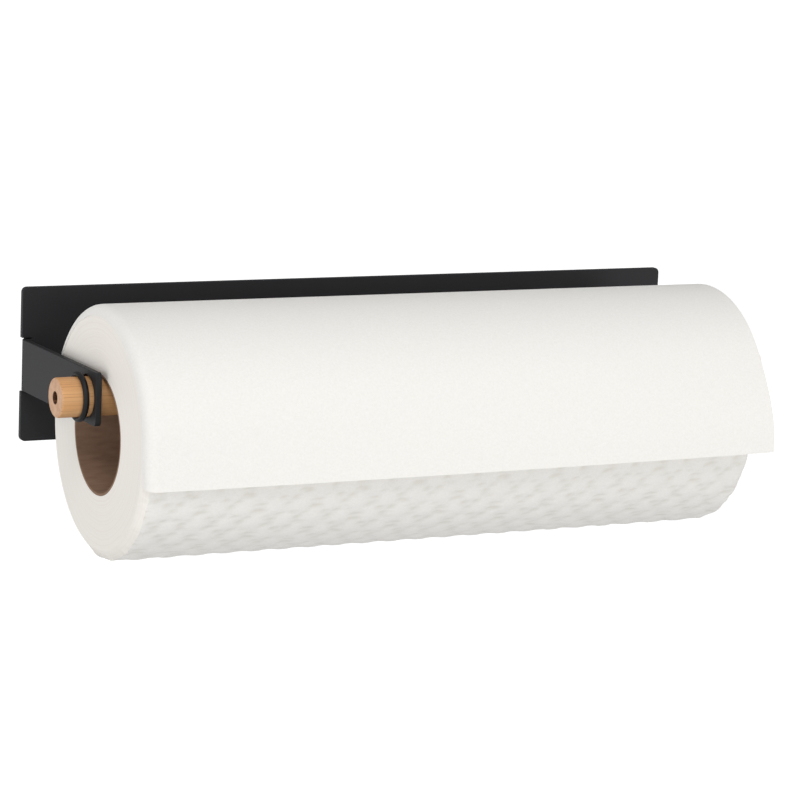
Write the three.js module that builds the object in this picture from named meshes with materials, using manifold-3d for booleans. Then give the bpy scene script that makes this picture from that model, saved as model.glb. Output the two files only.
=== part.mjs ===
// Paper towel holder for a steel surface: a bent steel bracket with a magnetic backing, a bamboo
// rod kept in its two arms by rubber rings, and a roll of paper towel hanging on the rod.
//
// Millimetres. +Z is up, +X runs along the rod, and -Y points away from the wall.
// The origin is the centre of the backing's rear face, which lies against the wall at y = 0.

import * as THREE from "three";
import { mergeVertices } from "three/addons/utils/BufferGeometryUtils.js";
import Module from "manifold-3d";

const wasm = await Module();
wasm.setup();

// Clearances
const GAP = 0.3; // between pieces that touch
const ROD_PLAY = 0.6; // around the rod in an arm's hole, whose axis is at the arm's mid-height
const RING_PLAY = 0.25; // around the rod in a rubber ring

// Bracket: one steel sheet, cut and bent
const SHEET = 2.5;
const PLATE_LENGTH = 308;
const PLATE_HEIGHT = 65;
const PLATE_CORNER = 2.2;
const ARM_HEIGHT = 21.5;
const ARM_BEYOND_ROD = 10.6; // from the rod's axis to the arm's front edge
const ARM_CORNER = 2;
const BEND_RADIUS = 0.8; // inside the bend
const RELIEF_WIDTH = 0.5; // slot beside each bend, so that the sheet doesn't tear
const RELIEF_DEPTH = 4.5;

// Backing: a rubber pad with pockets for block magnets
const PAD_THICKNESS = 2.5;
const PAD_INSET = 2.5; // from the plate's edges
const PAD_CORNER = 2;
const MAGNET_LENGTH = 30;
const MAGNET_HEIGHT = 15;
const MAGNET_COLUMNS = 4;
const MAGNET_ROWS = 2;
const MAGNET_END_MARGIN = 14; // pad left between the last pocket and the pad's end
const MAGNET_ROW_MARGIN = 6; // pad left between a pocket and the pad's long edge

// Rod and its rubber rings
const ROD_RADIUS = 8;
const ROD_OUT_OF_PLATE = 73; // the rod's axis in front of the plate
const ROD_BEYOND_LEFT_ARM = 13; // the rod is pushed to the left, up to its right ring
const ROD_BEYOND_RIGHT_ARM = 5.5;
const ROD_EDGE = 0.9; // rounding of the rod's end edge
const PILOT_RADIUS = 2.4; // turning centre left in each end
const PILOT_DEPTH = 6;
const RING_WIDTH = 2.5; // along the rod
const RING_HEIGHT = 1.8; // out from the rod
const RING_PLAY_ALONG = 2.1; // bare wood between the left ring and its arm

// Roll of paper towel
const CORE_INNER = 23.7;
const CORE_WALL = 1;
const ROLL_RADIUS = 51;
const ROLL_LENGTH = 279;
const ROLL_FROM_LEFT_ARM = 2.7;
const PAPER = 0.6; // thickness of one embossed sheet
const SHEET_LENGTH = 152; // from the perforation to the free edge
const SHEET_SPREAD = 3.8; // how much wider a loose sheet is than the tightly wound roll
const SHEET_LEAVES = (28 * Math.PI) / 180; // where it leaves the roll, up from the front
const SHEET_FORWARD = 7; // how far its free edge hangs in front of the roll
const SHEET_DROP = 11; // how far its free edge hangs below the roll's axis

// Places worked out from the sizes
const PLATE_BACK = -(PAD_THICKNESS + GAP);
const PLATE_FRONT = PLATE_BACK - SHEET;
const ARM_FACE = PLATE_LENGTH / 2; // outer face of an arm
const ROD_Y = PLATE_FRONT - ROD_OUT_OF_PLATE;
const ROD_Z = -(ROD_PLAY - GAP); // the rod rests at the bottom of its holes
const ROD_LENGTH = PLATE_LENGTH + ROD_BEYOND_LEFT_ARM + ROD_BEYOND_RIGHT_ARM;
const ROD_X = (ROD_BEYOND_RIGHT_ARM - ROD_BEYOND_LEFT_ARM) / 2;
const LEFT_RING_X = -(ARM_FACE + RING_PLAY_ALONG + RING_WIDTH / 2);
const RIGHT_RING_X = ARM_FACE + GAP + RING_WIDTH / 2;
const ROLL_X = -ARM_FACE + SHEET + ROLL_FROM_LEFT_ARM + ROLL_LENGTH / 2;
const ROLL_DROP = CORE_INNER - ROD_RADIUS - GAP; // the roll's axis below the rod's
const SHEET_WIDTH = ROLL_LENGTH + SHEET_SPREAD;
const SHEET_X = ROLL_X + SHEET_SPREAD / 2; // flush with the roll at the left
const PAD_LENGTH = PLATE_LENGTH - 2 * PAD_INSET;
const PAD_HEIGHT = PLATE_HEIGHT - 2 * PAD_INSET;

// Fineness of round surfaces
const ROUND_STEPS = 48;
const ROLL_STEPS = 96;
const CORNER_STEPS = 5;
const RING_STEPS = 12; // round a rubber ring's section
const SHEET_STEPS = 32; // along each curve of the loose sheet

const STEEL = new THREE.MeshStandardMaterial({ color: 0x2b2c2e, roughness: 0.55, metalness: 0.3 });
const RUBBER = new THREE.MeshStandardMaterial({ color: 0x17191b, roughness: 0.75, metalness: 0 });
const FERRITE = new THREE.MeshStandardMaterial({ color: 0x6b6d70, roughness: 0.4, metalness: 0.9 });
const BAMBOO = new THREE.MeshStandardMaterial({ color: 0xcd9e71, roughness: 0.6, metalness: 0 });
const BOARD = new THREE.MeshStandardMaterial({ color: 0x9a8066, roughness: 0.9, metalness: 0 });
const TISSUE = new THREE.MeshStandardMaterial({ color: 0xe9e7e3, roughness: 0.95, metalness: 0 });

// A named mesh of one piece.
function piece(name, geometry, material) {
  const mesh = new THREE.Mesh(geometry, material);
  mesh.name = name;
  return mesh;
}

// A closed geometry as a solid that can be joined and cut.
function solid(geometry) {
  const bare = geometry.clone();
  bare.deleteAttribute("normal");
  bare.deleteAttribute("uv");
  const merged = mergeVertices(bare);
  return new wasm.Manifold(
    new wasm.Mesh({
      numProp: 3,
      vertProperties: merged.attributes.position.array,
      triVerts: new Uint32Array(merged.index.array),
    }),
  );
}

// A solid's surface as a geometry.
function surface(body) {
  const mesh = body.getMesh();
  const geometry = new THREE.BufferGeometry();
  geometry.setAttribute("position", new THREE.BufferAttribute(mesh.vertProperties, 3));
  geometry.setIndex(new THREE.BufferAttribute(mesh.triVerts, 1));
  return geometry;
}

// A rectangle centred on the origin, with round corners.
function roundedRectangle(width, height, radius) {
  const right = width / 2 - radius;
  const top = height / 2 - radius;
  const shape = new THREE.Shape();
  shape.absarc(right, -top, radius, -Math.PI / 2, 0);
  shape.absarc(right, top, radius, 0, Math.PI / 2);
  shape.absarc(-right, top, radius, Math.PI / 2, Math.PI);
  shape.absarc(-right, -top, radius, Math.PI, 1.5 * Math.PI);
  shape.closePath();
  return shape;
}

// A rectangle given by its sides, as a closed path.
function rectangle(left, bottom, right, top) {
  const shape = new THREE.Shape();
  shape.moveTo(left, bottom);
  shape.lineTo(right, bottom);
  shape.lineTo(right, top);
  shape.lineTo(left, top);
  shape.closePath();
  return shape;
}

function extruded(shape, depth, curveSegments = CORNER_STEPS) {
  return new THREE.ExtrudeGeometry(shape, { depth, bevelEnabled: false, curveSegments });
}

// A shape drawn in x and z, thickened away from the wall from y = back.
function sheetAt(shape, back, thickness) {
  return extruded(shape, thickness).rotateX(Math.PI / 2).translate(0, back, 0);
}

// A shape drawn in y and z, thickened along x with its middle at x = 0.
function runAlongX(shape, length, curveSegments = CORNER_STEPS) {
  const turned = new THREE.Matrix4().makeBasis(
    new THREE.Vector3(0, 1, 0),
    new THREE.Vector3(0, 0, 1),
    new THREE.Vector3(1, 0, 0),
  );
  return extruded(shape, length, curveSegments).applyMatrix4(turned).translate(-length / 2, 0, 0);
}

// A profile of (radius, x) points turned about the x axis.
function turnedAboutX(points, steps) {
  return new THREE.LatheGeometry(points, steps).rotateZ(-Math.PI / 2);
}

// The flat plate, with its ends cut back where the arms bend out of it.
function plateBody() {
  const plate = sheetAt(roundedRectangle(PLATE_LENGTH, PLATE_HEIGHT, PLATE_CORNER), PLATE_BACK, SHEET);
  const reach = ARM_HEIGHT / 2 + RELIEF_WIDTH;
  const past = ARM_FACE + SHEET; // beyond the plate's end, for a clean cut
  const start = ARM_FACE - RELIEF_DEPTH;
  const cutThickness = 3 * SHEET;
  const rightCut = sheetAt(rectangle(start, -reach, past, reach), PLATE_BACK + SHEET, cutThickness);
  const leftCut = sheetAt(rectangle(-past, -reach, -start, reach), PLATE_BACK + SHEET, cutThickness);
  return solid(plate).subtract(solid(rightCut)).subtract(solid(leftCut));
}

// The strip that runs along the plate and bends forward into both arms, seen from above.
function armStripBody() {
  const outer = BEND_RADIUS + SHEET;
  const corner = ARM_FACE - outer;
  const bendY = PLATE_FRONT - BEND_RADIUS;
  const tip = ROD_Y - ARM_BEYOND_ROD;
  const outline = new THREE.Shape();
  outline.moveTo(-ARM_FACE, tip);
  outline.lineTo(-ARM_FACE + SHEET, tip);
  outline.absarc(-corner, bendY, BEND_RADIUS, Math.PI, Math.PI / 2, true);
  outline.absarc(corner, bendY, BEND_RADIUS, Math.PI / 2, 0, true);
  outline.lineTo(ARM_FACE - SHEET, tip);
  outline.lineTo(ARM_FACE, tip);
  outline.absarc(corner, bendY, outer, 0, Math.PI / 2);
  outline.absarc(-corner, bendY, outer, Math.PI / 2, Math.PI);
  outline.closePath();
  return solid(extruded(outline, ARM_HEIGHT, 2 * CORNER_STEPS).translate(0, 0, -ARM_HEIGHT / 2));
}

// The arms seen from the side: round corners at their front ends.
function armSideBody() {
  const length = PLATE_BACK + SHEET - (ROD_Y - ARM_BEYOND_ROD);
  const side = roundedRectangle(2 * length, ARM_HEIGHT, ARM_CORNER);
  return solid(runAlongX(side, PLATE_LENGTH + 2 * SHEET).translate(0, PLATE_BACK + SHEET, 0));
}

function bracket() {
  const arms = armStripBody().intersect(armSideBody());
  const hole = new THREE.CylinderGeometry(
    ROD_RADIUS + ROD_PLAY,
    ROD_RADIUS + ROD_PLAY,
    PLATE_LENGTH + 2 * SHEET,
    ROUND_STEPS,
  );
  const holes = solid(hole.rotateZ(Math.PI / 2).translate(0, ROD_Y, 0));
  return piece("bracket", surface(plateBody().add(arms).subtract(holes)), STEEL);
}

// Centres of the magnets, as x and z.
function magnetPlaces() {
  const endX = PAD_LENGTH / 2 - MAGNET_END_MARGIN - MAGNET_LENGTH / 2;
  const endZ = PAD_HEIGHT / 2 - MAGNET_ROW_MARGIN - MAGNET_HEIGHT / 2;
  const places = [];
  for (let row = 0; row < MAGNET_ROWS; row++) {
    for (let column = 0; column < MAGNET_COLUMNS; column++) {
      const x = -endX + (2 * endX * column) / (MAGNET_COLUMNS - 1);
      const z = endZ - (2 * endZ * row) / (MAGNET_ROWS - 1);
      places.push([x, z]);
    }
  }
  return places;
}

function backingPad() {
  const outline = roundedRectangle(PAD_LENGTH, PAD_HEIGHT, PAD_CORNER);
  const length = MAGNET_LENGTH + 2 * GAP;
  const height = MAGNET_HEIGHT + 2 * GAP;
  let pad = solid(sheetAt(outline, 0, PAD_THICKNESS));
  for (const [x, z] of magnetPlaces()) {
    pad = pad.subtract(solid(new THREE.BoxGeometry(length, 3 * PAD_THICKNESS, height).translate(x, 0, z)));
  }
  return piece("backing_pad", surface(pad), RUBBER);
}

function magnets() {
  const group = new THREE.Group();
  const thickness = PAD_THICKNESS - GAP; // just below the pad's rear face, and up to its front face
  magnetPlaces().forEach(([x, z], index) => {
    const block = new THREE.BoxGeometry(MAGNET_LENGTH, thickness, MAGNET_HEIGHT);
    const magnet = piece(`magnet_${index + 1}`, block, FERRITE);
    magnet.position.set(x, -GAP - thickness / 2, z);
    group.add(magnet);
  });
  return group;
}

function rod() {
  const end = ROD_LENGTH / 2;
  const half = [
    new THREE.Vector2(0, end - PILOT_DEPTH),
    new THREE.Vector2(PILOT_RADIUS, end - PILOT_DEPTH),
    new THREE.Vector2(PILOT_RADIUS, end),
  ];
  for (let step = 0; step <= CORNER_STEPS; step++) {
    const angle = (Math.PI / 2) * (1 - step / CORNER_STEPS);
    const radius = ROD_RADIUS - ROD_EDGE + ROD_EDGE * Math.cos(angle);
    half.push(new THREE.Vector2(radius, end - ROD_EDGE + ROD_EDGE * Math.sin(angle)));
  }
  const profile = [
    ...half.map((point) => new THREE.Vector2(point.x, -point.y)),
    ...half.reverse(),
  ];
  const mesh = piece("rod", turnedAboutX(profile, ROUND_STEPS), BAMBOO);
  mesh.position.set(ROD_X, ROD_Y, ROD_Z);
  return mesh;
}

// A rubber ring whose section is flattened by its stretch on the rod.
function rubberRing(name, x) {
  const middle = ROD_RADIUS + RING_PLAY + RING_HEIGHT / 2;
  const profile = [];
  for (let step = 0; step <= RING_STEPS; step++) {
    const angle = (2 * Math.PI * (step % RING_STEPS)) / RING_STEPS;
    const radius = middle + (RING_HEIGHT / 2) * Math.cos(angle);
    profile.push(new THREE.Vector2(radius, (RING_WIDTH / 2) * Math.sin(angle)));
  }
  const mesh = piece(name, turnedAboutX(profile, ROUND_STEPS), RUBBER);
  mesh.position.set(x, ROD_Y, ROD_Z);
  return mesh;
}

// A plain tube about the x axis.
function tube(name, inner, outer, length, material) {
  const end = length / 2;
  const profile = [
    new THREE.Vector2(inner, -end),
    new THREE.Vector2(outer, -end),
    new THREE.Vector2(outer, end),
    new THREE.Vector2(inner, end),
    new THREE.Vector2(inner, -end),
  ];
  return piece(name, turnedAboutX(profile, ROLL_STEPS), material);
}

// The free part of the sheet, from where it leaves the roll to its hanging edge, as one curve.
function hangingCurve(radius, front) {
  const start = new THREE.Vector2(-radius * Math.cos(SHEET_LEAVES), radius * Math.sin(SHEET_LEAVES));
  const bend = start.y - (start.x - front) / Math.tan(SHEET_LEAVES);
  return new THREE.QuadraticBezierCurve(
    start,
    new THREE.Vector2(front, bend),
    new THREE.Vector2(front, -SHEET_DROP),
  );
}

// The last sheet: round the roll from its perforation, over the top, and off the front.
function looseSheet() {
  const inner = ROLL_RADIUS + GAP;
  const outer = inner + PAPER;
  const front = -(ROLL_RADIUS + SHEET_FORWARD);
  const inside = hangingCurve(inner, front);
  const outside = hangingCurve(outer, front - PAPER);
  const wrap = (SHEET_LENGTH - inside.getLength()) / (inner + PAPER / 2);
  const leaves = Math.PI - SHEET_LEAVES;
  const outline = new THREE.Shape();
  outline.absarc(0, 0, outer, leaves - wrap, leaves);
  outline.quadraticCurveTo(outside.v1.x, outside.v1.y, outside.v2.x, outside.v2.y);
  outline.lineTo(inside.v2.x, inside.v2.y);
  outline.quadraticCurveTo(inside.v1.x, inside.v1.y, inside.v0.x, inside.v0.y);
  outline.absarc(0, 0, inner, leaves, leaves - wrap, true);
  outline.closePath();
  const mesh = piece("loose_sheet", runAlongX(outline, SHEET_WIDTH, SHEET_STEPS), TISSUE);
  mesh.position.x = SHEET_X - ROLL_X;
  return mesh;
}

function towel() {
  const group = new THREE.Group();
  const coreOuter = CORE_INNER + CORE_WALL;
  group.add(tube("core_tube", CORE_INNER, coreOuter, ROLL_LENGTH, BOARD));
  group.add(tube("towel_roll", coreOuter + GAP, ROLL_RADIUS, ROLL_LENGTH, TISSUE));
  group.add(looseSheet());
  group.position.set(ROLL_X, ROD_Y, ROD_Z - ROLL_DROP);
  return group;
}

const holder = new THREE.Group();
holder.add(bracket());
holder.add(backingPad());
holder.add(magnets());
holder.add(rod());
holder.add(rubberRing("o_ring_left", LEFT_RING_X));
holder.add(rubberRing("o_ring_right", RIGHT_RING_X));
holder.add(towel());

export default holder;
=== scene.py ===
"""Looks of a paper towel holder: a bent steel bracket on a magnetic pad, a bamboo rod, and its roll.

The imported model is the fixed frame. Every piece is made in its coordinates, in metres: +Z is up, +X
runs along the rod, and -Y points away from the wall. Sizes written in this file are millimetres, and
mm() turns them to metres.
"""

import logging
import math
from collections.abc import Callable, Sequence
from dataclasses import dataclass
from enum import Enum

import bpy
import numpy as np
from mathutils import Matrix, Vector


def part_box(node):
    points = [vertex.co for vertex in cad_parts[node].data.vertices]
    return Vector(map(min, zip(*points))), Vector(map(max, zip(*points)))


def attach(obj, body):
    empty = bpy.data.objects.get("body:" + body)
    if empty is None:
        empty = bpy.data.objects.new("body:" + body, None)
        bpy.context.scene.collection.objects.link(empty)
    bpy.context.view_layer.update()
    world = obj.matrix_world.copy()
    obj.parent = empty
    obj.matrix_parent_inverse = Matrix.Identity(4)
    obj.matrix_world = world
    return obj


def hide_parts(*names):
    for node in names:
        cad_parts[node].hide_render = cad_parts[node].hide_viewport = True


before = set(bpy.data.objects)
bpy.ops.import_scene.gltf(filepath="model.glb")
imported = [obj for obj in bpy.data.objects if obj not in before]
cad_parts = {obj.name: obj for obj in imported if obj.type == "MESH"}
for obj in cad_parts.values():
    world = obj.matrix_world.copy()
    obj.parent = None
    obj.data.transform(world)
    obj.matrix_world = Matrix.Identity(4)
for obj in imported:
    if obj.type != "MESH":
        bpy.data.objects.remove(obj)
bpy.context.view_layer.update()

PRESSED = "pressed"  # the attribute that says how hard the paper is embossed; it also places the tissue's painted dent shade
NEAR = 0.01  # points that lie closer than this, in millimetres, count as one place
log = logging.getLogger("towel_holder")


def mm(value: float) -> float:
    """Turns millimetres to metres."""
    return value / 1000.0


def linear(colour: str) -> tuple[float, ...]:
    """Turns an sRGB colour to the linear values that a shader takes.

    Args:
        colour: Six hex digits after a #.

    Returns:
        Red, green, blue and an alpha of 1.
    """
    channels = [int(colour[i : i + 2], 16) / 255 for i in (1, 3, 5)]
    values = [c / 12.92 if c <= 0.04045 else ((c + 0.055) / 1.055) ** 2.4 for c in channels]
    return (*values, 1.0)


def middle_of(node: str) -> Vector:
    """Gives the middle of a CAD node's box."""
    low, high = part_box(node)
    return (low + high) / 2


def size_of(node: str) -> Vector:
    """Gives a CAD node's size along x, y and z."""
    low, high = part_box(node)
    return high - low


# ------------------------------------------------------------------ finishes


class Graph:
    """The node tree of one material."""

    MIX_FACTOR, MIX_A, MIX_B, MIX_RESULT = 0, 6, 7, 2  # a colour mix's sockets, by number

    def __init__(self, material: bpy.types.Material) -> None:
        """Empties the tree, and adds the shader and the output.

        Args:
            material: The material.
        """
        material.use_nodes = True
        self.tree = material.node_tree
        self.tree.nodes.clear()
        self.shader = self.add("BsdfPrincipled")
        self.add("OutputMaterial", {"Surface": self.shader.outputs["BSDF"]})

    def add(
        self, kind: str, feeds: dict | None = None, stops: Sequence = (), **settings: object
    ) -> bpy.types.Node:
        """Adds a node with its settings and links.

        Args:
            kind: The node's type, without ShaderNode in front.
            feeds: For each input, by name or number, a value or another node's output.
            stops: A colour ramp's places from 0 to 1, each with its sRGB colour.
            settings: The node's own properties.

        Returns:
            The new node.
        """
        node = self.tree.nodes.new("ShaderNode" + kind)
        for name, value in settings.items():
            setattr(node, name, value)
        for place, colour in stops[2:]:
            node.color_ramp.elements.new(place)
        for element, (place, colour) in zip(node.color_ramp.elements if stops else (), stops):
            element.position = place
            element.color = linear(colour)
        for name, value in (feeds or {}).items():
            if isinstance(value, bpy.types.NodeSocket):
                self.tree.links.new(value, node.inputs[name])
            else:
                node.inputs[name].default_value = value
        return node

    def drive(self, **links: bpy.types.NodeSocket) -> None:
        """Links patterns to the shader's sockets, named with _ for a space."""
        for name, socket in links.items():
            self.tree.links.new(socket, self.shader.inputs[name.replace("_", " ")])

    def fix(self, **values: float) -> None:
        """Sets values that are the same all over on the shader's sockets, named with _ for a space."""
        for name, value in values.items():
            self.shader.inputs[name.replace("_", " ")].default_value = value


@dataclass(frozen=True)
class Finish:
    """A surface finish: what the real surface is, and how its material is built."""

    name: str

    def material(self) -> bpy.types.Material:
        """Builds the finish once, and gives its material."""
        made = bpy.data.materials.get(self.name)
        if made is None:
            made = bpy.data.materials.new(self.name)
            self.dress(Graph(made))
        return made

    def dress(self, graph: Graph) -> None:
        """Sets the shader's values and adds the pattern's nodes.

        Args:
            graph: The material's nodes.
        """
        raise NotImplementedError


@dataclass(frozen=True)
class PowderCoat(Finish):
    """Black polyester powder coat, sprayed and baked on mild steel.

    It is matt to satin and even, with a faint orange peel, and no bare metal at the edges.
    """

    colour: str = "#2a2a2c"
    dust: str = "#303032"
    roughness: float = 0.52
    reflection: float = 1.25  # index: the matting agent in the coat dulls its surface
    peel_spacing: float = 1.8
    peel_height: float = 0.012

    def dress(self, graph: Graph) -> None:
        """Sets the shader's values and adds the pattern's nodes.

        Args:
            graph: The material's nodes.
        """
        place = graph.add("TexCoord").outputs["Object"]
        cloud = graph.add("TexNoise", {"Vector": place, "Scale": 1 / mm(60), "Detail": 3.0}).outputs["Fac"]
        tint = graph.add("ValToRGB", {"Fac": cloud}, [(0.35, self.colour), (0.75, self.dust)])
        gloss = graph.add(
            "MapRange", {"Value": cloud, "To Min": self.roughness - 0.04, "To Max": self.roughness + 0.06}
        )
        peel = graph.add("TexNoise", {"Vector": place, "Scale": 1 / mm(self.peel_spacing), "Detail": 2.0})
        bump = graph.add("Bump", {"Height": peel.outputs["Fac"], "Distance": mm(self.peel_height)})
        graph.drive(
            Base_Color=tint.outputs["Color"],
            Roughness=gloss.outputs["Result"],
            Normal=bump.outputs["Normal"],
        )
        graph.fix(IOR=self.reflection)


@dataclass(frozen=True)
class Rubber(Finish):
    """Black rubber, moulded or cut from sheet: dull, with a fine grain and a slight grey bloom."""

    colour: str = "#0e0e10"
    bloom: str = "#161618"
    roughness: float = 0.55
    gloss: float = 0.35
    grain: float = 0.5
    grain_height: float = 0.03

    def dress(self, graph: Graph) -> None:
        """Sets the shader's values and adds the pattern's nodes.

        Args:
            graph: The material's nodes.
        """
        place = graph.add("TexCoord").outputs["Object"]
        cloud = graph.add("TexNoise", {"Vector": place, "Scale": 1 / mm(9), "Detail": 4.0}).outputs["Fac"]
        tint = graph.add("ValToRGB", {"Fac": cloud}, [(0.35, self.colour), (0.8, self.bloom)])
        grain = graph.add("TexNoise", {"Vector": place, "Scale": 1 / mm(self.grain), "Detail": 3.0})
        bump = graph.add("Bump", {"Height": grain.outputs["Fac"], "Distance": mm(self.grain_height)})
        graph.drive(Base_Color=tint.outputs["Color"], Normal=bump.outputs["Normal"])
        graph.fix(Roughness=self.roughness, IOR=1.52, Specular_IOR_Level=self.gloss)


@dataclass(frozen=True)
class NickelPlate(Finish):
    """Nickel plating on a sintered magnet, tumbled, so that it is soft and slightly mottled."""

    colour: str = "#cbc7bf"
    mottle: str = "#bbb7af"
    roughness: tuple[float, float] = (0.25, 0.35)

    def dress(self, graph: Graph) -> None:
        """Sets the shader's values and adds the pattern's nodes.

        Args:
            graph: The material's nodes.
        """
        place = graph.add("TexCoord").outputs["Object"]
        cloud = graph.add("TexNoise", {"Vector": place, "Scale": 1 / mm(3), "Detail": 5.0}).outputs["Fac"]
        tint = graph.add("ValToRGB", {"Fac": cloud}, [(0.3, self.mottle), (0.7, self.colour)])
        low, high = self.roughness
        gloss = graph.add("MapRange", {"Value": cloud, "To Min": low, "To Max": high})
        graph.drive(Base_Color=tint.outputs["Color"], Roughness=gloss.outputs["Result"])
        graph.fix(Metallic=1.0)


@dataclass(frozen=True)
class BambooSide(Finish):
    """Bamboo turned to a dowel and oiled: straight fibres, with thin darker bundles between them."""

    pale: str = "#e0ae79"
    golden: str = "#d29a63"
    bundle: str = "#a26a3a"
    fibre_width: float = 0.4
    fibre_length: float = 70.0
    strip_width: float = 4.0
    fibre_height: float = 0.04

    def dress(self, graph: Graph) -> None:
        """Sets the shader's values and adds the pattern's nodes.

        Args:
            graph: The material's nodes.
        """
        place = graph.add("TexCoord").outputs["Object"]
        along, across, strip = 1 / mm(self.fibre_length), 1 / mm(self.fibre_width), 1 / mm(self.strip_width)
        drawn_out = graph.add("Mapping", {"Vector": place, "Scale": (along, across, across)}).outputs[0]
        fibres = graph.add(
            "TexNoise", {"Vector": drawn_out, "Scale": 1.0, "Detail": 3.0, "Roughness": 0.6}
        ).outputs["Fac"]
        broad = graph.add("Mapping", {"Vector": place, "Scale": (along / 2, strip, strip)}).outputs[0]
        strips = graph.add("TexNoise", {"Vector": broad, "Scale": 1.0, "Detail": 1.0}).outputs["Fac"]
        ground = graph.add("ValToRGB", {"Fac": strips}, [(0.35, self.golden), (0.65, self.pale)])
        dark = graph.add("MapRange", {"Value": fibres, "From Min": 0.52, "From Max": 0.72, "To Max": 0.8})
        tint = graph.add(
            "Mix",
            {
                Graph.MIX_FACTOR: dark.outputs["Result"],
                Graph.MIX_A: ground.outputs["Color"],
                Graph.MIX_B: linear(self.bundle),
            },
            data_type="RGBA",
        )
        bump = graph.add("Bump", {"Height": fibres, "Distance": mm(self.fibre_height)})
        graph.drive(Base_Color=tint.outputs[Graph.MIX_RESULT], Normal=bump.outputs["Normal"])
        graph.fix(Roughness=0.5, IOR=1.47)


@dataclass(frozen=True)
class BambooEnd(Finish):
    """Bamboo sawn across its fibres: pale ground with small dark dots where the bundles are cut."""

    ground: str = "#dcb595"
    shade: str = "#cda283"
    dot: str = "#a87f5f"
    dot_spacing: float = 0.7
    dot_size: float = 0.3  # of the spacing

    def dress(self, graph: Graph) -> None:
        """Sets the shader's values and adds the pattern's nodes.

        Args:
            graph: The material's nodes.
        """
        place = graph.add("TexCoord").outputs["Object"]
        flat = graph.add(
            "Mapping", {"Vector": place, "Scale": (0.0, 1 / mm(self.dot_spacing), 1 / mm(self.dot_spacing))}
        ).outputs[0]
        cells = graph.add("TexVoronoi", {"Vector": flat, "Scale": 1.0}).outputs["Distance"]
        cloud = graph.add("TexNoise", {"Vector": place, "Scale": 1 / mm(2.5), "Detail": 4.0}).outputs["Fac"]
        ground = graph.add("ValToRGB", {"Fac": cloud}, [(0.35, self.shade), (0.65, self.ground)])
        dots = graph.add(
            "MapRange",
            {
                "Value": cells,
                "From Min": self.dot_size / 2,
                "From Max": self.dot_size,
                "To Min": 0.5,
                "To Max": 0.0,
            },
        )
        tint = graph.add(
            "Mix",
            {
                Graph.MIX_FACTOR: dots.outputs["Result"],
                Graph.MIX_A: ground.outputs["Color"],
                Graph.MIX_B: linear(self.dot),
            },
            data_type="RGBA",
        )
        bump = graph.add("Bump", {"Height": cloud, "Distance": mm(0.05)})
        graph.drive(Base_Color=tint.outputs[Graph.MIX_RESULT], Normal=bump.outputs["Normal"])
        graph.fix(Roughness=0.75, IOR=1.47)


@dataclass(frozen=True)
class BambooBore(Finish):
    """The torn wall of a hole bored into the end grain, with paler streaks; its dark brown is painted shade
    inside the hole.
    """

    # painted shade: the hole's wall and its streaks are drawn far darker than the bamboo outside
    colour: str = "#4f301c"
    streak: str = "#8a5a3a"

    def dress(self, graph: Graph) -> None:
        """Sets the shader's values and adds the pattern's nodes.

        Args:
            graph: The material's nodes.
        """
        place = graph.add("TexCoord").outputs["Object"]
        torn = graph.add(
            "Mapping", {"Vector": place, "Scale": (1 / mm(6), 1 / mm(0.7), 1 / mm(0.7))}
        ).outputs[0]
        streaks = graph.add("TexNoise", {"Vector": torn, "Scale": 1.0, "Detail": 4.0}).outputs["Fac"]
        tint = graph.add("ValToRGB", {"Fac": streaks}, [(0.45, self.colour), (0.7, self.streak)])
        bump = graph.add("Bump", {"Height": streaks, "Distance": mm(0.15)})
        graph.drive(Base_Color=tint.outputs["Color"], Normal=bump.outputs["Normal"])
        graph.fix(Roughness=0.85)


@dataclass(frozen=True)
class CoreBoard(Finish):
    """Grey-brown recycled board wound in a spiral: matt, with flecks, and a seam along each turn."""

    axis: Vector
    turn: float  # how far the seam moves along the tube in one turn
    colour: str = "#967a66"
    shade: str = "#8d715d"
    fleck: str = "#806452"
    seam: str = "#6d5342"
    seam_width: float = 0.8

    def dress(self, graph: Graph) -> None:
        """Sets the shader's values and adds the pattern's nodes.

        Args:
            graph: The material's nodes.
        """
        source = graph.add("TexCoord").outputs["Object"]
        place = graph.add("Mapping", {"Vector": source, "Location": -self.axis}).outputs[0]
        split = graph.add("SeparateXYZ", {"Vector": place})
        angle = graph.add("Math", {0: split.outputs["Z"], 1: split.outputs["Y"]}, operation="ARCTAN2")
        round_part = graph.add("Math", {0: angle.outputs[0], 1: 1 / math.tau}, operation="MULTIPLY")
        along = graph.add("Math", {0: split.outputs["X"], 1: 1 / mm(self.turn)}, operation="MULTIPLY")
        helix = graph.add("Math", {0: along.outputs[0], 1: round_part.outputs[0]}, operation="ADD")
        distance = graph.add("Math", {0: helix.outputs[0], 1: 0.5}, operation="PINGPONG")
        seam = graph.add(
            "MapRange",
            {
                "Value": distance.outputs[0],
                "From Max": self.seam_width / self.turn,
                "To Min": 0.7,
                "To Max": 0.0,
            },
        )
        laid = graph.add(
            "Mapping", {"Vector": place, "Scale": (1 / mm(7), 1 / mm(1.8), 1 / mm(1.8))}
        ).outputs[0]
        pulp = graph.add("TexNoise", {"Vector": laid, "Scale": 1.0, "Detail": 6.0}).outputs["Fac"]
        ground = graph.add(
            "ValToRGB", {"Fac": pulp}, [(0.2, self.fleck), (0.45, self.shade), (0.7, self.colour)]
        )
        tint = graph.add(
            "Mix",
            {
                Graph.MIX_FACTOR: seam.outputs["Result"],
                Graph.MIX_A: ground.outputs["Color"],
                Graph.MIX_B: linear(self.seam),
            },
            data_type="RGBA",
        )
        bump = graph.add("Bump", {"Height": pulp, "Distance": mm(0.05)})
        graph.drive(Base_Color=tint.outputs[Graph.MIX_RESULT], Normal=bump.outputs["Normal"])
        graph.fix(Roughness=0.9, IOR=1.45, Specular_IOR_Level=0.3)


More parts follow.
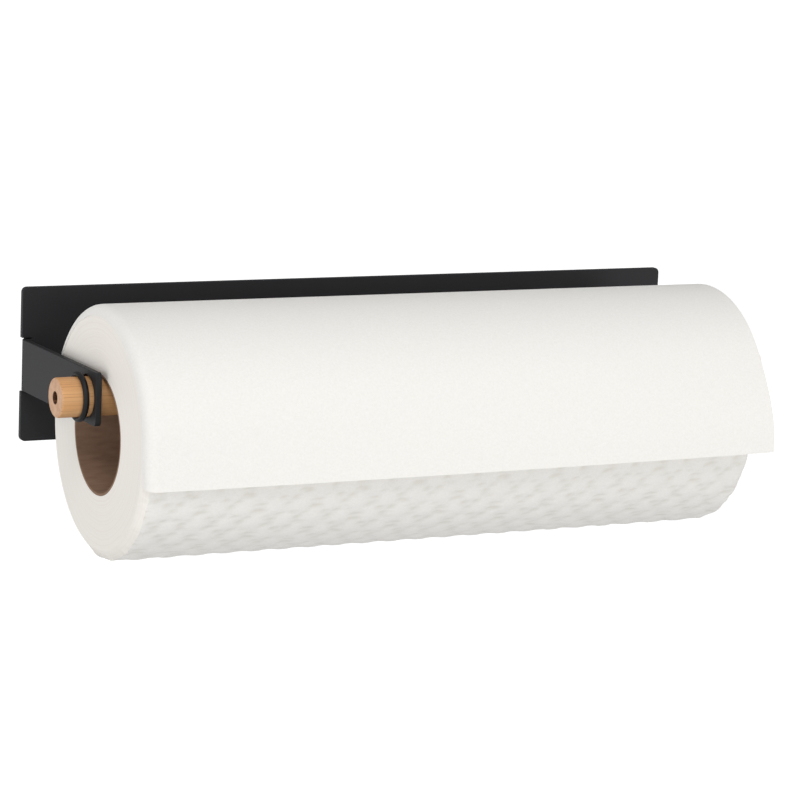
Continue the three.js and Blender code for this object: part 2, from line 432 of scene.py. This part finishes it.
@dataclass(frozen=True)
class Tissue(Finish):
    """Two-ply towel tissue, creped on the drying drum: soft white, matt, with tiny crinkles and painted
    shade in its embossed dents.
    """

    colour: str = "#f3f1ed"
    shade: str = "#edebe6"
    sunk: str = "#e4e1d9"  # painted shade in the embossed dents, mixed in by how hard each place is pressed
    crepe: float = 0.9  # the real crinkles are finer; they are this coarse so that they show
    crepe_height: float = 0.035

    def dress(self, graph: Graph) -> None:
        """Sets the shader's values and adds the pattern's nodes.

        Args:
            graph: The material's nodes.
        """
        place = graph.add("TexCoord").outputs["Object"]
        crepe = graph.add(
            "TexNoise", {"Vector": place, "Scale": 1 / mm(self.crepe), "Detail": 4.0, "Roughness": 0.65}
        ).outputs["Fac"]
        ground = graph.add("ValToRGB", {"Fac": crepe}, [(0.3, self.shade), (0.65, self.colour)])
        # painted shade: the dents are drawn darker, as far as they are pressed
        tint = graph.add(
            "Mix",
            {
                Graph.MIX_FACTOR: graph.add("Attribute", attribute_name=PRESSED).outputs["Fac"],
                Graph.MIX_A: ground.outputs["Color"],
                Graph.MIX_B: linear(self.sunk),
            },
            data_type="RGBA",
        )
        bump = graph.add("Bump", {"Height": crepe, "Distance": mm(self.crepe_height)})
        graph.drive(Base_Color=tint.outputs[Graph.MIX_RESULT], Normal=bump.outputs["Normal"])
        graph.fix(Roughness=0.95, IOR=1.4, Specular_IOR_Level=0.2, Sheen_Weight=0.15, Sheen_Roughness=0.6)


@dataclass(frozen=True)
class WoundEdges(Finish):
    """The cut edges of the roll's windings: hundreds of thin layers, seen as faint uneven rings."""

    axis: Vector
    colour: str = "#f8f4ee"
    shade: str = "#f4efe8"
    layer: float = 0.8  # the real layers are thinner; they are this coarse so that they show
    layer_height: float = 0.03

    def dress(self, graph: Graph) -> None:
        """Sets the shader's values and adds the pattern's nodes.

        Args:
            graph: The material's nodes.
        """
        source = graph.add("TexCoord").outputs["Object"]
        place = graph.add("Mapping", {"Vector": source, "Location": -self.axis}).outputs[0]
        flat = graph.add("Mapping", {"Vector": place, "Scale": (0.0, 1.0, 1.0)}).outputs[0]
        radius = graph.add("VectorMath", {0: flat}, operation="LENGTH").outputs["Value"]
        drift = graph.add("TexNoise", {"Vector": place, "Scale": 1 / mm(14), "Detail": 2.0}).outputs["Fac"]
        winding = graph.add(
            "MapRange", {"Value": drift, "To Min": -mm(0.8), "To Max": mm(0.8)}
        ).outputs["Result"]
        drifting = graph.add("Math", {0: radius, 1: winding}, operation="ADD").outputs[0]
        rings = graph.add(
            "TexNoise",
            {"W": drifting, "Scale": 1 / mm(self.layer), "Detail": 3.0, "Roughness": 0.7},
            noise_dimensions="1D",
        ).outputs["Fac"]
        tint = graph.add("ValToRGB", {"Fac": rings}, [(0.3, self.shade), (0.6, self.colour)])
        bump = graph.add("Bump", {"Height": rings, "Distance": mm(self.layer_height)})
        graph.drive(Base_Color=tint.outputs["Color"], Normal=bump.outputs["Normal"])
        graph.fix(Roughness=0.95, IOR=1.4, Specular_IOR_Level=0.2)


@dataclass(frozen=True)
class PaleGround(Finish):
    """Pale studio paper, lit from beneath all round, but not under the object."""

    colour: str = "#d6d6d6"
    glow: float = 0.85
    dark_reach: float = 1150.0
    lit_reach: float = 1750.0

    def dress(self, graph: Graph) -> None:
        """Sets the shader's values and adds the pattern's nodes.

        Args:
            graph: The material's nodes.
        """
        place = graph.add("TexCoord").outputs["Object"]
        away = graph.add("VectorMath", {0: place}, operation="LENGTH").outputs["Value"]
        glow = graph.add(
            "MapRange",
            {
                "Value": away,
                "From Min": mm(self.dark_reach),
                "From Max": mm(self.lit_reach),
                "To Max": self.glow,
            },
            interpolation_type="SMOOTHSTEP",
        )
        graph.drive(Emission_Strength=glow.outputs["Result"])
        graph.fix(Base_Color=linear(self.colour), Emission_Color=linear("#ffffff"), Roughness=0.9)


# ------------------------------------------------------------------ shaping


class Pick(Enum):
    """What kind of element is picked on a piece."""

    FACES = "FACE"
    EDGES = "EDGE"
    POINTS = "VERT"


class Piece:
    """One piece on the bench: a mesh object, and the ways in which it is shaped and finished."""

    def __init__(self, made: bpy.types.Object, name: str) -> None:
        """Takes an object in hand and names it.

        Args:
            made: The object that an operator has just added, or a copy.
            name: The piece's name.
        """
        self.made = made
        made.name = name
        made.data.name = name

    @staticmethod
    def clear() -> None:
        """Leaves edit mode and deselects everything."""
        if bpy.context.mode != "OBJECT":
            bpy.ops.object.mode_set(mode="OBJECT")
        bpy.ops.object.select_all(action="DESELECT")

    @classmethod
    def start(cls, name: str, primitive: Callable, **sizes: object) -> "Piece":
        """Starts a piece from a primitive, with its place applied to its mesh.

        Args:
            name: The piece's name.
            primitive: The operator that adds the primitive.
            sizes: The operator's settings.

        Returns:
            The piece.
        """
        cls.clear()
        primitive(**sizes)
        bpy.ops.object.transform_apply(location=True, rotation=True, scale=True)
        return cls(bpy.context.object, name)

    @classmethod
    def copy_of(cls, source: bpy.types.Object, name: str) -> "Piece":
        """Copies an object with a mesh of its own.

        Args:
            source: The object that is copied.
            name: The copy's name.

        Returns:
            The piece.
        """
        copy = bpy.data.objects.new(name, source.data.copy())
        bpy.context.scene.collection.objects.link(copy)
        return cls(copy, name)

    def hold(self) -> None:
        """Makes this the one selected and active object."""
        self.clear()
        self.made.select_set(True)
        bpy.context.view_layer.objects.active = self.made

    def pick(self, kind: Pick, test: Callable[[list[Vector]], bool]) -> int:
        """Enters edit mode with the elements picked whose corner points pass a test.

        Args:
            kind: Faces, edges or points.
            test: Takes an element's points, and says whether it is picked.

        Returns:
            How many were picked.
        """
        self.hold()
        bpy.ops.object.mode_set(mode="EDIT")
        bpy.ops.mesh.select_mode(type=kind.value)
        bpy.ops.mesh.select_all(action="DESELECT")
        bpy.ops.object.mode_set(mode="OBJECT")
        mesh = self.made.data
        points = [v.co.copy() for v in mesh.vertices]
        if kind is Pick.POINTS:
            chosen = [v for v in mesh.vertices if test([points[v.index]])]
        else:
            elements = mesh.polygons if kind is Pick.FACES else mesh.edges
            chosen = [e for e in elements if test([points[i] for i in e.vertices])]
        for element in chosen:
            element.select = True
        bpy.ops.object.mode_set(mode="EDIT")
        return len(chosen)

    def pick_all(self) -> None:
        """Enters edit mode with everything picked."""
        self.hold()
        bpy.ops.object.mode_set(mode="EDIT")
        bpy.ops.mesh.select_all(action="SELECT")

    def apply(self, kind: str, **settings: object) -> None:
        """Adds a modifier and applies it.

        Args:
            kind: The modifier's type.
            settings: Its properties.
        """
        self.hold()
        modifier = self.made.modifiers.new(kind.title(), kind)
        for name, value in settings.items():
            setattr(modifier, name, value)
        bpy.ops.object.modifier_apply(modifier=modifier.name)

    def join(self, other: "Piece") -> None:
        """Takes another piece's mesh into this one.

        Args:
            other: The piece that is taken in.
        """
        self.hold()
        other.made.select_set(True)
        bpy.ops.object.join()

    def points(self) -> np.ndarray:
        """Gives the mesh's points as rows of x, y and z."""
        self.clear()
        mesh = self.made.data
        flat = np.empty(3 * len(mesh.vertices))
        mesh.vertices.foreach_get("co", flat)
        return flat.reshape(-1, 3)

    def move_points(self, places: np.ndarray) -> None:
        """Puts the mesh's points at new places.

        Args:
            places: Rows of x, y and z.
        """
        self.clear()
        self.made.data.vertices.foreach_set("co", places.astype(np.float64).ravel())
        self.made.data.update()

    def mark(self, name: str, values: np.ndarray) -> None:
        """Keeps a value for each point, which a finish can read."""
        self.made.data.attributes.new(name, "FLOAT", "POINT").data.foreach_set("value", values)

    def smooth(self, degrees: float = 35) -> None:
        """Shades the piece smooth, with its edges kept sharp where they turn by more than an angle."""
        self.hold()
        bpy.ops.object.shade_smooth_by_angle(angle=math.radians(degrees))

    def close_up(self, reach: float = 0.001) -> None:
        """Merges the points that lie close together, and turns every face outwards.

        Args:
            reach: How close, in millimetres.
        """
        self.pick_all()
        bpy.ops.mesh.remove_doubles(threshold=mm(reach))
        bpy.ops.mesh.normals_make_consistent(inside=False)
        self.clear()

    def paint(self, *finishes: Finish) -> None:
        """Gives the piece its finishes, in the order of its material slots."""
        self.made.data.materials.clear()
        for finish in finishes:
            self.made.data.materials.append(finish.material())

    def assign(self, slot: int, test: Callable[[Vector, Vector], bool]) -> None:
        """Gives a material slot to the faces whose middle and normal pass a test.

        Args:
            slot: The material slot's number.
            test: Takes a face's middle and normal.
        """
        self.clear()
        for face in self.made.data.polygons:
            if test(face.center, face.normal):
                face.material_index = slot

    def mount(self, body: str, slot: str, *nodes: str) -> None:
        """Says what body the piece moves with, and the CAD nodes that it stands for.

        Args:
            body: The CAD body.
            slot: The record's material slot; not used.
            nodes: The CAD nodes that it replaces.
        """
        self.clear()
        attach(self.made, body)
        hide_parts(*nodes)
        log.info("%s: %d faces on %s", self.made.name, len(self.made.data.polygons), body)


# ------------------------------------------------------------------ bracket and backing


@dataclass
class Backing:
    """The steel bracket with the rubber pad and the magnets behind its plate."""

    steel_edge: float = 0.35  # rounding that the coat leaves on an edge
    pad_edge: float = 0.3
    magnet_edge: float = 0.4
    edge_steps: int = 3
    flat_angle: float = 1.0  # CAD triangles that turn by less are one face
    steel: Finish = PowderCoat("satin_black_powder_coat")
    rubber: Finish = Rubber("cut_sheet_rubber", roughness=0.75, grain=0.9, grain_height=0.05)
    nickel: Finish = NickelPlate("tumbled_nickel_plate")

    def softened(self, node: str, name: str, width: float) -> Piece:
        """Copies a CAD node and rounds its edges.

        Args:
            node: The CAD node.
            name: The new piece's name.
            width: The rounding.

        Returns:
            The piece.
        """
        piece = Piece.copy_of(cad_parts[node], name)
        piece.pick_all()
        bpy.ops.mesh.remove_doubles(threshold=mm(0.001))
        bpy.ops.mesh.dissolve_limited(angle_limit=math.radians(self.flat_angle))
        piece.apply(
            "BEVEL",
            width=mm(width),
            segments=self.edge_steps,
            limit_method="ANGLE",
            angle_limit=math.radians(40),
        )
        piece.smooth()
        piece.apply("WEIGHTED_NORMAL", keep_sharp=True)
        return piece

    def make_bracket(self) -> None:
        """Makes the bent steel bracket."""
        piece = self.softened("bracket", "bent_bracket", self.steel_edge)
        piece.paint(self.steel)
        piece.mount("holder", "bracket_steel", "bracket")

    def make_pad(self) -> None:
        """Makes the rubber pad with its eight pockets."""
        piece = self.softened("backing_pad", "rubber_pad", self.pad_edge)
        piece.paint(self.rubber)
        piece.mount("holder", "pad_rubber", "backing_pad")

    def make_magnets(self) -> None:
        """Makes one block magnet, and copies it into the other pockets."""
        nodes = sorted(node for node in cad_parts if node.startswith("magnet_"))
        size = size_of(nodes[0])
        block = Piece.start(
            "block_magnet", bpy.ops.mesh.primitive_cube_add, size=1, location=middle_of(nodes[0]), scale=size
        )
        block.pick(Pick.EDGES, lambda points: True)
        bpy.ops.mesh.bevel(offset=mm(self.magnet_edge), segments=self.edge_steps)
        block.smooth()
        block.paint(self.nickel)
        start = middle_of(nodes[0])
        for number, node in enumerate(nodes, 1):
            copy = Piece.copy_of(block.made, f"block_magnet_{number}")
            copy.move_points(copy.points() + np.array(middle_of(node) - start))
            copy.mount("holder", "magnet_nickel", node)
        bpy.data.objects.remove(block.made)

    def build(self) -> None:
        """Makes every piece that stays on the wall."""
        self.make_bracket()
        self.make_pad()
        self.make_magnets()


# ------------------------------------------------------------------ rod and rings


@dataclass
class Rod:
    """The bamboo rod and the two rubber rings that keep it in the arms."""

    round_steps: int = 96
    edge: float = 0.9
    edge_steps: int = 4
    end_lean: float = 0.75  # a face whose normal lies this far along the rod shows end grain
    bore_radius: float = 2.4
    bore_mouth: float = 0.25  # worn lip round the hole
    bore_taper: float = 0.02
    bore_depth: float = 5.0
    bore_tip: float = 1.0  # depth of the drill's cone
    bore_point: float = 0.3  # radius at the cone's tip
    ring_section_steps: int = 24
    parting_width: float = 0.16
    parting_height: float = 0.07
    side: Finish = BambooSide("oiled_bamboo_side")
    end: Finish = BambooEnd("sawn_bamboo_end")
    bore: Finish = BambooBore("bored_bamboo_painted_shade")
    rubber: Finish = Rubber("moulded_nitrile")

    def make_rod(self) -> None:
        """Makes the dowel, with rounded ends and a turning centre in each."""
        size, middle = size_of("rod"), middle_of("rod")
        radius, reach = size.z / 2, size.x / 2
        rod = Piece.start(
            "bamboo_rod",
            bpy.ops.mesh.primitive_cylinder_add,
            vertices=self.round_steps,
            radius=radius,
            depth=size.x,
            location=middle,
            rotation=(0, math.pi / 2, 0),
        )

        def off_axis(point: Vector) -> float:
            """Gives a point's distance from the rod's axis."""
            return math.hypot(point.y - middle.y, point.z - middle.z)

        def at_end(point: Vector) -> bool:
            """Says whether a point lies in an end face."""
            return abs(point.x - middle.x) > reach - mm(NEAR)

        rod.pick(Pick.EDGES, lambda points: all(at_end(p) for p in points))
        bpy.ops.mesh.bevel(offset=mm(self.edge), segments=self.edge_steps)
        rod.pick(Pick.FACES, lambda points: all(at_end(p) for p in points))
        half_ring = (radius - mm(self.edge) - mm(self.bore_radius)) / 2
        bpy.ops.mesh.inset(thickness=half_ring)
        bpy.ops.mesh.inset(thickness=half_ring - mm(self.bore_mouth))
        bpy.ops.mesh.inset(thickness=mm(self.bore_mouth), depth=-mm(self.bore_mouth))
        bpy.ops.mesh.inset(thickness=mm(self.bore_taper), depth=-mm(self.bore_depth))
        bpy.ops.mesh.inset(thickness=mm(self.bore_radius - self.bore_point), depth=-mm(self.bore_tip))
        rod.smooth(30)
        rod.paint(self.side, self.end, self.bore)
        rod.assign(1, lambda place, normal: abs(normal.x) > self.end_lean)
        # the faces inside the hole take the bore finish, with its painted shade
        wall = mm(self.bore_radius + self.bore_mouth)
        mouth = reach - mm(self.bore_mouth) / 2
        rod.assign(2, lambda place, normal: off_axis(place) < wall and abs(place.x - middle.x) < mouth)
        rod.mount("rod", "rod_bamboo", "rod")

    def make_ring(self, node: str, name: str, body: str) -> None:
        """Makes a rubber ring with the thin line that its mould leaves round it.

        Args:
            node: The ring's CAD node.
            name: The piece's name.
            body: The CAD body that it moves with.
        """
        size, middle = size_of(node), middle_of(node)
        outer = size.z / 2
        inner = size_of("rod").z / 2
        thickness = (outer - inner) / 2
        ring = Piece.start(
            name,
            bpy.ops.mesh.primitive_torus_add,
            major_segments=self.round_steps,
            minor_segments=self.ring_section_steps,
            major_radius=(outer + inner) / 2,
            minor_radius=thickness,
            location=middle,
            rotation=(0, math.pi / 2, 0),
        )
        ring.pick_all()
        bpy.ops.transform.resize(value=(size.x / (2 * thickness), 1, 1), center_override=middle)

        def on_rim(point: Vector) -> bool:
            """Says whether a point lies on the ring's outermost line."""
            out = math.hypot(point.y - middle.y, point.z - middle.z)
            return out > outer - mm(NEAR) and abs(point.x - middle.x) < mm(NEAR)

        ring.pick(Pick.EDGES, lambda points: all(on_rim(p) for p in points))
        bpy.ops.mesh.bevel(offset=mm(self.parting_width / 2), segments=2)
        ring.pick(Pick.POINTS, lambda points: on_rim(points[0]))
        grown = 1 + mm(self.parting_height) / outer
        bpy.ops.transform.resize(value=(1, grown, grown), center_override=middle)
        ring.smooth(50)
        ring.paint(self.rubber)
        ring.mount(body, "ring_rubber", node)

    def build(self) -> None:
        """Makes the rod and its rings."""
        self.make_rod()
        self.make_ring("o_ring_left", "rubber_ring_left", "left_ring")
        self.make_ring("o_ring_right", "rubber_ring_right", "right_ring")


# ------------------------------------------------------------------ roll


@dataclass(frozen=True)
class Emboss:
    """The towel's embossing: soft pillows between rows of short dents that cross as diamonds."""

    diamond_along: float = 12.6
    diamond_round: float = 17.0
    dents: int = 3  # along one side of a diamond
    dent_width: float = 1.5
    dent_depth: float = 0.4
    pillow: float = 0.8  # how much a diamond's middle stands above its rows
    bow: float = 0.6  # how far a dent curves off its row
    drift: float = 0.5  # how far the pattern wanders off true, as soft paper does

    def heights(self, along: np.ndarray, girth: np.ndarray) -> tuple[np.ndarray, np.ndarray]:
        """Gives the surface's height at each place, and how hard it is pressed there.

        Args:
            along: Distances along the roll, in millimetres.
            girth: Distances round it, in millimetres.

        Returns:
            Heights in millimetres, none of them above 0, and shares from 0 to 1.
        """
        along = along + self.drift * np.sin(girth / 9.1 + along / 23.0)
        girth = girth + self.drift * np.sin(along / 7.3 - girth / 31.0)
        spacing = 1 / math.hypot(1 / self.diamond_along, 1 / self.diamond_round)
        rise = np.ones_like(along)
        pressed = np.zeros_like(along)
        for side in (1, -1):
            across = along / self.diamond_along + side * girth / self.diamond_round
            down = along / self.diamond_along - side * girth / self.diamond_round
            rise *= np.abs(np.sin(np.pi * across))
            phase = (down * self.dents) % 1.0
            bowed = (across - np.round(across)) * spacing + side * self.bow * np.sin(np.pi * phase)
            line = np.exp(-((2 * bowed / self.dent_width) ** 2))
            pressed = np.maximum(pressed, line * np.clip(2 * np.sin(np.pi * phase) - 0.5, 0, 1))
        return self.pillow * (np.sqrt(rise) - 1) - self.dent_depth * pressed, pressed

    def girth_of(self, radius: float) -> float:
        """Gives the radius in millimetres that fits a whole number of diamonds round the roll."""
        return round(math.tau * radius / self.diamond_round) * self.diamond_round / math.tau


@dataclass(frozen=True)
class Hang:
    """How the loose sheet hangs at one of its side edges, seen along the rod from the roll's axis."""

    leaves: float  # degrees above the front, where it leaves the roll
    bend: float  # height at which it bends down
    forward: float  # how far in front of the roll its lower edge hangs
    low: float  # height at which it hangs that far forward


@dataclass
class Towel:
    """The roll: the core tube, the wound paper and the loose last sheet."""

    round_steps: int = 300
    length_steps: int = 300
    end_steps: int = 13
    shoulder: float = 4.2  # rounding of the roll's outer edge
    shoulder_start: float = 0.4  # share of the rounding that still shows cut edges
    end_lean: float = 0.6  # a face whose normal lies this far along the roll shows cut edges
    end_waver: float = 0.12  # how unevenly the windings' edges lie
    end_pitches: tuple[float, float] = (3.3, 7.6)  # from one uneven ring to the next
    core_steps: int = 160
    core_edge: float = 0.12
    core_fit: float = 0.03  # between the core and the first winding
    seam_turn: float = 96.0
    sheet_length: float = 152.0
    sheet_thickness: float = 0.5
    sheet_steps: tuple[int, int] = (228, 122)
    sheet_spacing: tuple = ((0, 0.05, 1), (0, 0.012, 1))  # its points lie closer on the left shoulder
    sheet_inset: float = 0.1  # keeps the sheet inside its CAD solid's ends
    left_hang: Hang = Hang(leaves=4, bend=-1, forward=0.6, low=-6)
    right_hang: Hang = Hang(leaves=36, bend=9, forward=6.6, low=-5)
    emboss: Emboss = Emboss()
    tissue: Finish = Tissue("creped_towel_tissue")

    def __post_init__(self) -> None:
        """Works out the roll's sizes from the frame."""
        self.axis = middle_of("towel_roll")
        size = size_of("towel_roll")
        self.radius = size.z / 2
        self.reach = size.x / 2
        self.core_outer = size_of("core_tube").z / 2
        self.board = CoreBoard("spiral_wound_core_board", self.axis, self.seam_turn)
        self.edges = WoundEdges("cut_edges_of_the_windings", self.axis)

    def off_axis(self, point: Vector) -> float:
        """Gives a point's distance from the roll's axis."""
        return math.hypot(point.y - self.axis.y, point.z - self.axis.z)

    def tube(self, name: str, radius: float, steps: int, ends: str = "NOTHING") -> Piece:
        """Starts a cylinder about the roll's axis.

        Args:
            name: The piece's name.
            radius: The cylinder's radius.
            steps: Faces round it.
            ends: NOTHING for an open tube, or NGON for flat ends.

        Returns:
            The piece.
        """
        return Piece.start(
            name,
            bpy.ops.mesh.primitive_cylinder_add,
            vertices=steps,
            radius=radius,
            depth=2 * self.reach,
            end_fill_type=ends,
            location=self.axis,
            rotation=(0, math.pi / 2, 0),
        )

    def make_core(self) -> None:
        """Makes the core tube with a wall of real thickness."""
        core = self.tube("core_board_tube", self.core_outer, self.core_steps)
        core.apply("SOLIDIFY", thickness=self.core_outer - self.core_inner(), offset=-1)
        rim = self.reach - mm(NEAR)
        core.pick(Pick.EDGES, lambda points: all(abs(p.x - self.axis.x) > rim for p in points))
        bpy.ops.mesh.bevel(offset=mm(self.core_edge), segments=2)
        core.smooth()
        core.paint(self.board)
        core.mount("roll", "core_board", "core_tube")

    def core_inner(self) -> float:
        """Gives the core's inner radius, from the CAD node's point nearest to the axis."""
        return min(self.off_axis(v.co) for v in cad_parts["core_tube"].data.vertices)

    def make_roll(self) -> None:
        """Makes the wound paper: a thick tube, embossed, with soft shoulders and uneven ends."""
        bore = self.core_outer + mm(self.core_fit)
        roll = self.tube("wound_towel", self.radius, self.round_steps, "NGON")
        roll.pick(Pick.EDGES, lambda points: abs(points[0].x - points[1].x) > self.reach)
        bpy.ops.mesh.subdivide(number_cuts=self.length_steps - 1)
        roll.pick(Pick.FACES, lambda points: len(points) == self.round_steps)
        for _ in range(self.end_steps):
            bpy.ops.mesh.inset(thickness=(self.radius - bore) / self.end_steps)
        bpy.ops.mesh.delete(type="FACE")
        roll.join(self.tube("bore", bore, self.round_steps))
        roll.close_up(2 * NEAR)
        places, pressed = self.worked(roll.points())
        roll.move_points(places)
        roll.mark(PRESSED, pressed)
        roll.smooth(60)
        roll.paint(self.tissue, self.edges)
        limit = self.radius - mm(self.shoulder) * self.shoulder_start
        roll.assign(1, lambda place, normal: abs(normal.x) > self.end_lean and self.off_axis(place) < limit)
        roll.mount("roll", "towel_paper", "towel_roll")

    def shoulder_drop(self, out: np.ndarray) -> np.ndarray:
        """Gives how far the roll's rounded shoulders lie inside its radius.

        Args:
            out: Distances along the roll from its middle towards an end.

        Returns:
            The drops, in metres.
        """
        soft = mm(self.shoulder)
        inward = np.clip(soft - (self.reach - out), 0, soft)
        return soft - np.sqrt(soft**2 - inward**2)

    def worked(self, places: np.ndarray) -> tuple[np.ndarray, np.ndarray]:
        """Embosses the roll's outside, rounds its shoulders and roughens its ends.

        Args:
            places: The points of the plain thick tube.

        Returns:
            The points' new places, and how hard each is pressed.
        """
        local = places - np.array(self.axis)
        radius = np.hypot(local[:, 1], local[:, 2])
        angle = np.arctan2(local[:, 2], local[:, 1])
        outside = radius > self.radius - mm(NEAR)
        girth = angle * self.emboss.girth_of(1000 * self.radius)
        dents, pressed = self.emboss.heights(1000 * local[:, 0], girth)
        drop = self.shoulder_drop(np.abs(local[:, 0]))
        dents *= 1 - drop / mm(self.shoulder)
        fresh = np.where(outside, radius + mm(1) * dents - drop, radius)
        at_end = np.abs(local[:, 0]) > self.reach - mm(NEAR)
        share = np.clip((radius - self.core_outer) / (self.radius - self.core_outer), 0, 1)
        fine, broad = (math.tau * radius / mm(pitch) for pitch in self.end_pitches)
        sway = (np.sin(fine) + np.sin(broad + 2 * angle)) / 2
        back = mm(self.end_waver) * (1 + sway / 2) * np.sin(np.pi * share)
        # the end's outer windings move in under the shoulder, and the inner ones hardly move
        fresh = np.where(at_end & ~outside, radius - mm(self.shoulder) * share**6, fresh)
        local[:, 1:] *= (fresh / radius)[:, None]
        local[:, 0] -= np.where(at_end, np.sign(local[:, 0]) * back, 0)
        return local + np.array(self.axis), np.where(outside, pressed, 0)

    def sheet_path(self, share: float, start: float) -> tuple[np.ndarray, np.ndarray]:
        """Gives the sheet's line at one place across it, seen along the rod.

        Args:
            share: 0 at the left edge, 1 at the right.
            start: The angle round the roll where the perforation lies, from the front over the top.

        Returns:
            Points of y and z from the roll's axis in millimetres, and their distances along the line.
        """
        left, right = self.left_hang, self.right_hang
        leaves = math.radians(left.leaves + share * (right.leaves - left.leaves))
        bend = left.bend + share * (right.bend - left.bend)
        forward = left.forward + share * (right.forward - left.forward)
        low = left.low + share * (right.low - left.low)
        radius = 1000 * self.radius + self.sheet_thickness / 2
        turn = np.linspace(start, leaves, 160)
        wrapped = np.stack([-radius * np.cos(turn), radius * np.sin(turn)], 1)
        begin = wrapped[-1]
        slope = (begin[1] - bend) / math.cos(leaves)
        corner = begin + slope * np.array([-math.sin(leaves), -math.cos(leaves)])
        end = np.array([-(radius + forward), low])
        t = np.linspace(0, 1, 60)[1:, None]
        curved = (1 - t) ** 2 * begin + 2 * t * (1 - t) * corner + t**2 * end
        onward = (end - corner) / np.linalg.norm(end - corner)
        line = np.vstack([wrapped, curved, end + 60 * onward])
        steps = np.hypot(*np.diff(line, axis=0).T)
        return line, np.concatenate([[0], np.cumsum(steps)])

    def make_sheet(self) -> None:
        """Lays a flat sheet over the roll, with its last part hanging free in front."""
        low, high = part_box("loose_sheet")
        width = 1000 * (high.x - low.x) - 2 * self.sheet_inset
        across, along = self.sheet_steps
        sheet = Piece.start(
            "loose_last_sheet",
            bpy.ops.mesh.primitive_grid_add,
            x_subdivisions=across,
            y_subdivisions=along,
            size=1,
        )
        flat = sheet.points()
        share = np.interp(flat[:, 0] + 0.5, *self.sheet_spacing)
        run = (0.5 - flat[:, 1]) * self.sheet_length
        start = self.perforation()
        places = np.empty_like(flat)
        places[:, 0] = low.x + mm(self.sheet_inset) + mm(width) * share
        sunk = 1 - self.shoulder_drop(self.axis.x - places[:, 0] + mm(self.sheet_inset)) / self.radius
        for value in np.unique(np.round(share, 6)):
            column = np.abs(share - value) < 1e-5
            line, lengths = self.sheet_path(float(value), start)
            y = np.interp(run[column], lengths, line[:, 0])
            z = np.interp(run[column], lengths, line[:, 1])
            places[column, 1] = self.axis.y + mm(1) * y * sunk[column]
            places[column, 2] = self.axis.z + mm(1) * z * sunk[column]
        sheet.move_points(places)
        sheet.apply("SOLIDIFY", thickness=mm(self.sheet_thickness), offset=0)
        sheet.smooth(60)
        sheet.paint(self.tissue)
        sheet.mount("roll", "towel_paper", "loose_sheet")

    def perforation(self) -> float:
        """Gives where the sheet starts: its angle round the roll, from the front over the top."""
        points = np.array([v.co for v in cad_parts["loose_sheet"].data.vertices]) - np.array(self.axis)
        return float(np.arctan2(points[:, 2], -points[:, 1]).max())

    def build(self) -> None:
        """Makes the core, the wound paper and the loose sheet."""
        self.make_core()
        self.make_roll()
        self.make_sheet()


# ------------------------------------------------------------------ studio


@dataclass(frozen=True)
class Lamp:
    """A soft rectangular light that points at the object."""

    name: str
    place: tuple[float, float, float]
    width: float
    height: float
    power: float


@dataclass
class Studio:
    """The pale floor, the soft lights and the camera."""

    camera_place: tuple[float, float, float] = (-609.4, -1228.9, 225.8)
    camera_turn: float = 27.34  # degrees to the right of straight at the wall
    camera_dip: float = 10.24
    camera_roll: float = 2.34
    lens: float = 142.5
    floor_height: float = -700.0
    floor_reach: float = 20000.0
    sky: str = "#ffffff"
    sky_strength: float = 0.38
    aim: tuple[float, float, float] = (0.0, -60.0, -10.0)
    ground: Finish = PaleGround("studio_paper")
    lamps: tuple[Lamp, ...] = (
        Lamp("key", (-630, -1140, 1090), 700, 700, 7.0),
        Lamp("front", (500, -1600, 20), 700, 500, 5.2),
        Lamp("left", (-1500, -500, 250), 700, 500, 3.4),
        Lamp("top", (500, -150, 1500), 900, 500, 4.0),
    )

    def make_camera(self) -> None:
        """Adds the camera."""
        data = bpy.data.cameras.new("camera")
        data.lens = self.lens
        data.clip_end = 60
        camera = bpy.data.objects.new("camera", data)
        bpy.context.scene.collection.objects.link(camera)
        turn, dip, roll = (math.radians(a) for a in (self.camera_turn, self.camera_dip, self.camera_roll))
        ahead = Vector((math.sin(turn) * math.cos(dip), math.cos(turn) * math.cos(dip), -math.sin(dip)))
        level = Vector((math.cos(turn), -math.sin(turn), 0))
        upward = level.cross(ahead)
        right = level * math.cos(roll) + upward * math.sin(roll)
        up = upward * math.cos(roll) - level * math.sin(roll)
        facing = Matrix((right, up, -ahead)).transposed().to_4x4()
        camera.matrix_world = Matrix.Translation([mm(value) for value in self.camera_place]) @ facing
        bpy.context.scene.camera = camera

    def make_lights(self) -> None:
        """Adds the soft lights and an even white surround."""
        world = bpy.data.worlds.new("surround")
        world.use_nodes = True
        background = world.node_tree.nodes["Background"]
        background.inputs["Color"].default_value = linear(self.sky)
        background.inputs["Strength"].default_value = self.sky_strength
        bpy.context.scene.world = world
        aim = Vector([mm(value) for value in self.aim])
        for lamp in self.lamps:
            data = bpy.data.lights.new(lamp.name, "AREA")
            data.shape = "RECTANGLE"
            data.size = mm(lamp.width)
            data.size_y = mm(lamp.height)
            data.energy = lamp.power
            light = bpy.data.objects.new(lamp.name, data)
            bpy.context.scene.collection.objects.link(light)
            light.location = [mm(value) for value in lamp.place]
            light.rotation_euler = (aim - light.location).to_track_quat("-Z", "Y").to_euler()

    def make_ground(self) -> None:
        """Adds the floor."""
        floor = Piece.start(
            "floor",
            bpy.ops.mesh.primitive_plane_add,
            size=mm(2 * self.floor_reach),
            location=(0, 0, mm(self.floor_height)),
        )
        floor.paint(self.ground)

    def build(self) -> None:
        """Sets up the studio."""
        self.make_camera()
        self.make_lights()
        self.make_ground()
        bpy.context.scene.view_settings.view_transform = "Standard"


def main() -> None:
    """Builds the studio and the object."""
    logging.basicConfig(level=logging.INFO, format="%(message)s")
    Studio().build()
    Backing().build()
    Rod().build()
    Towel().build()


if __name__ == "__main__":
    main()
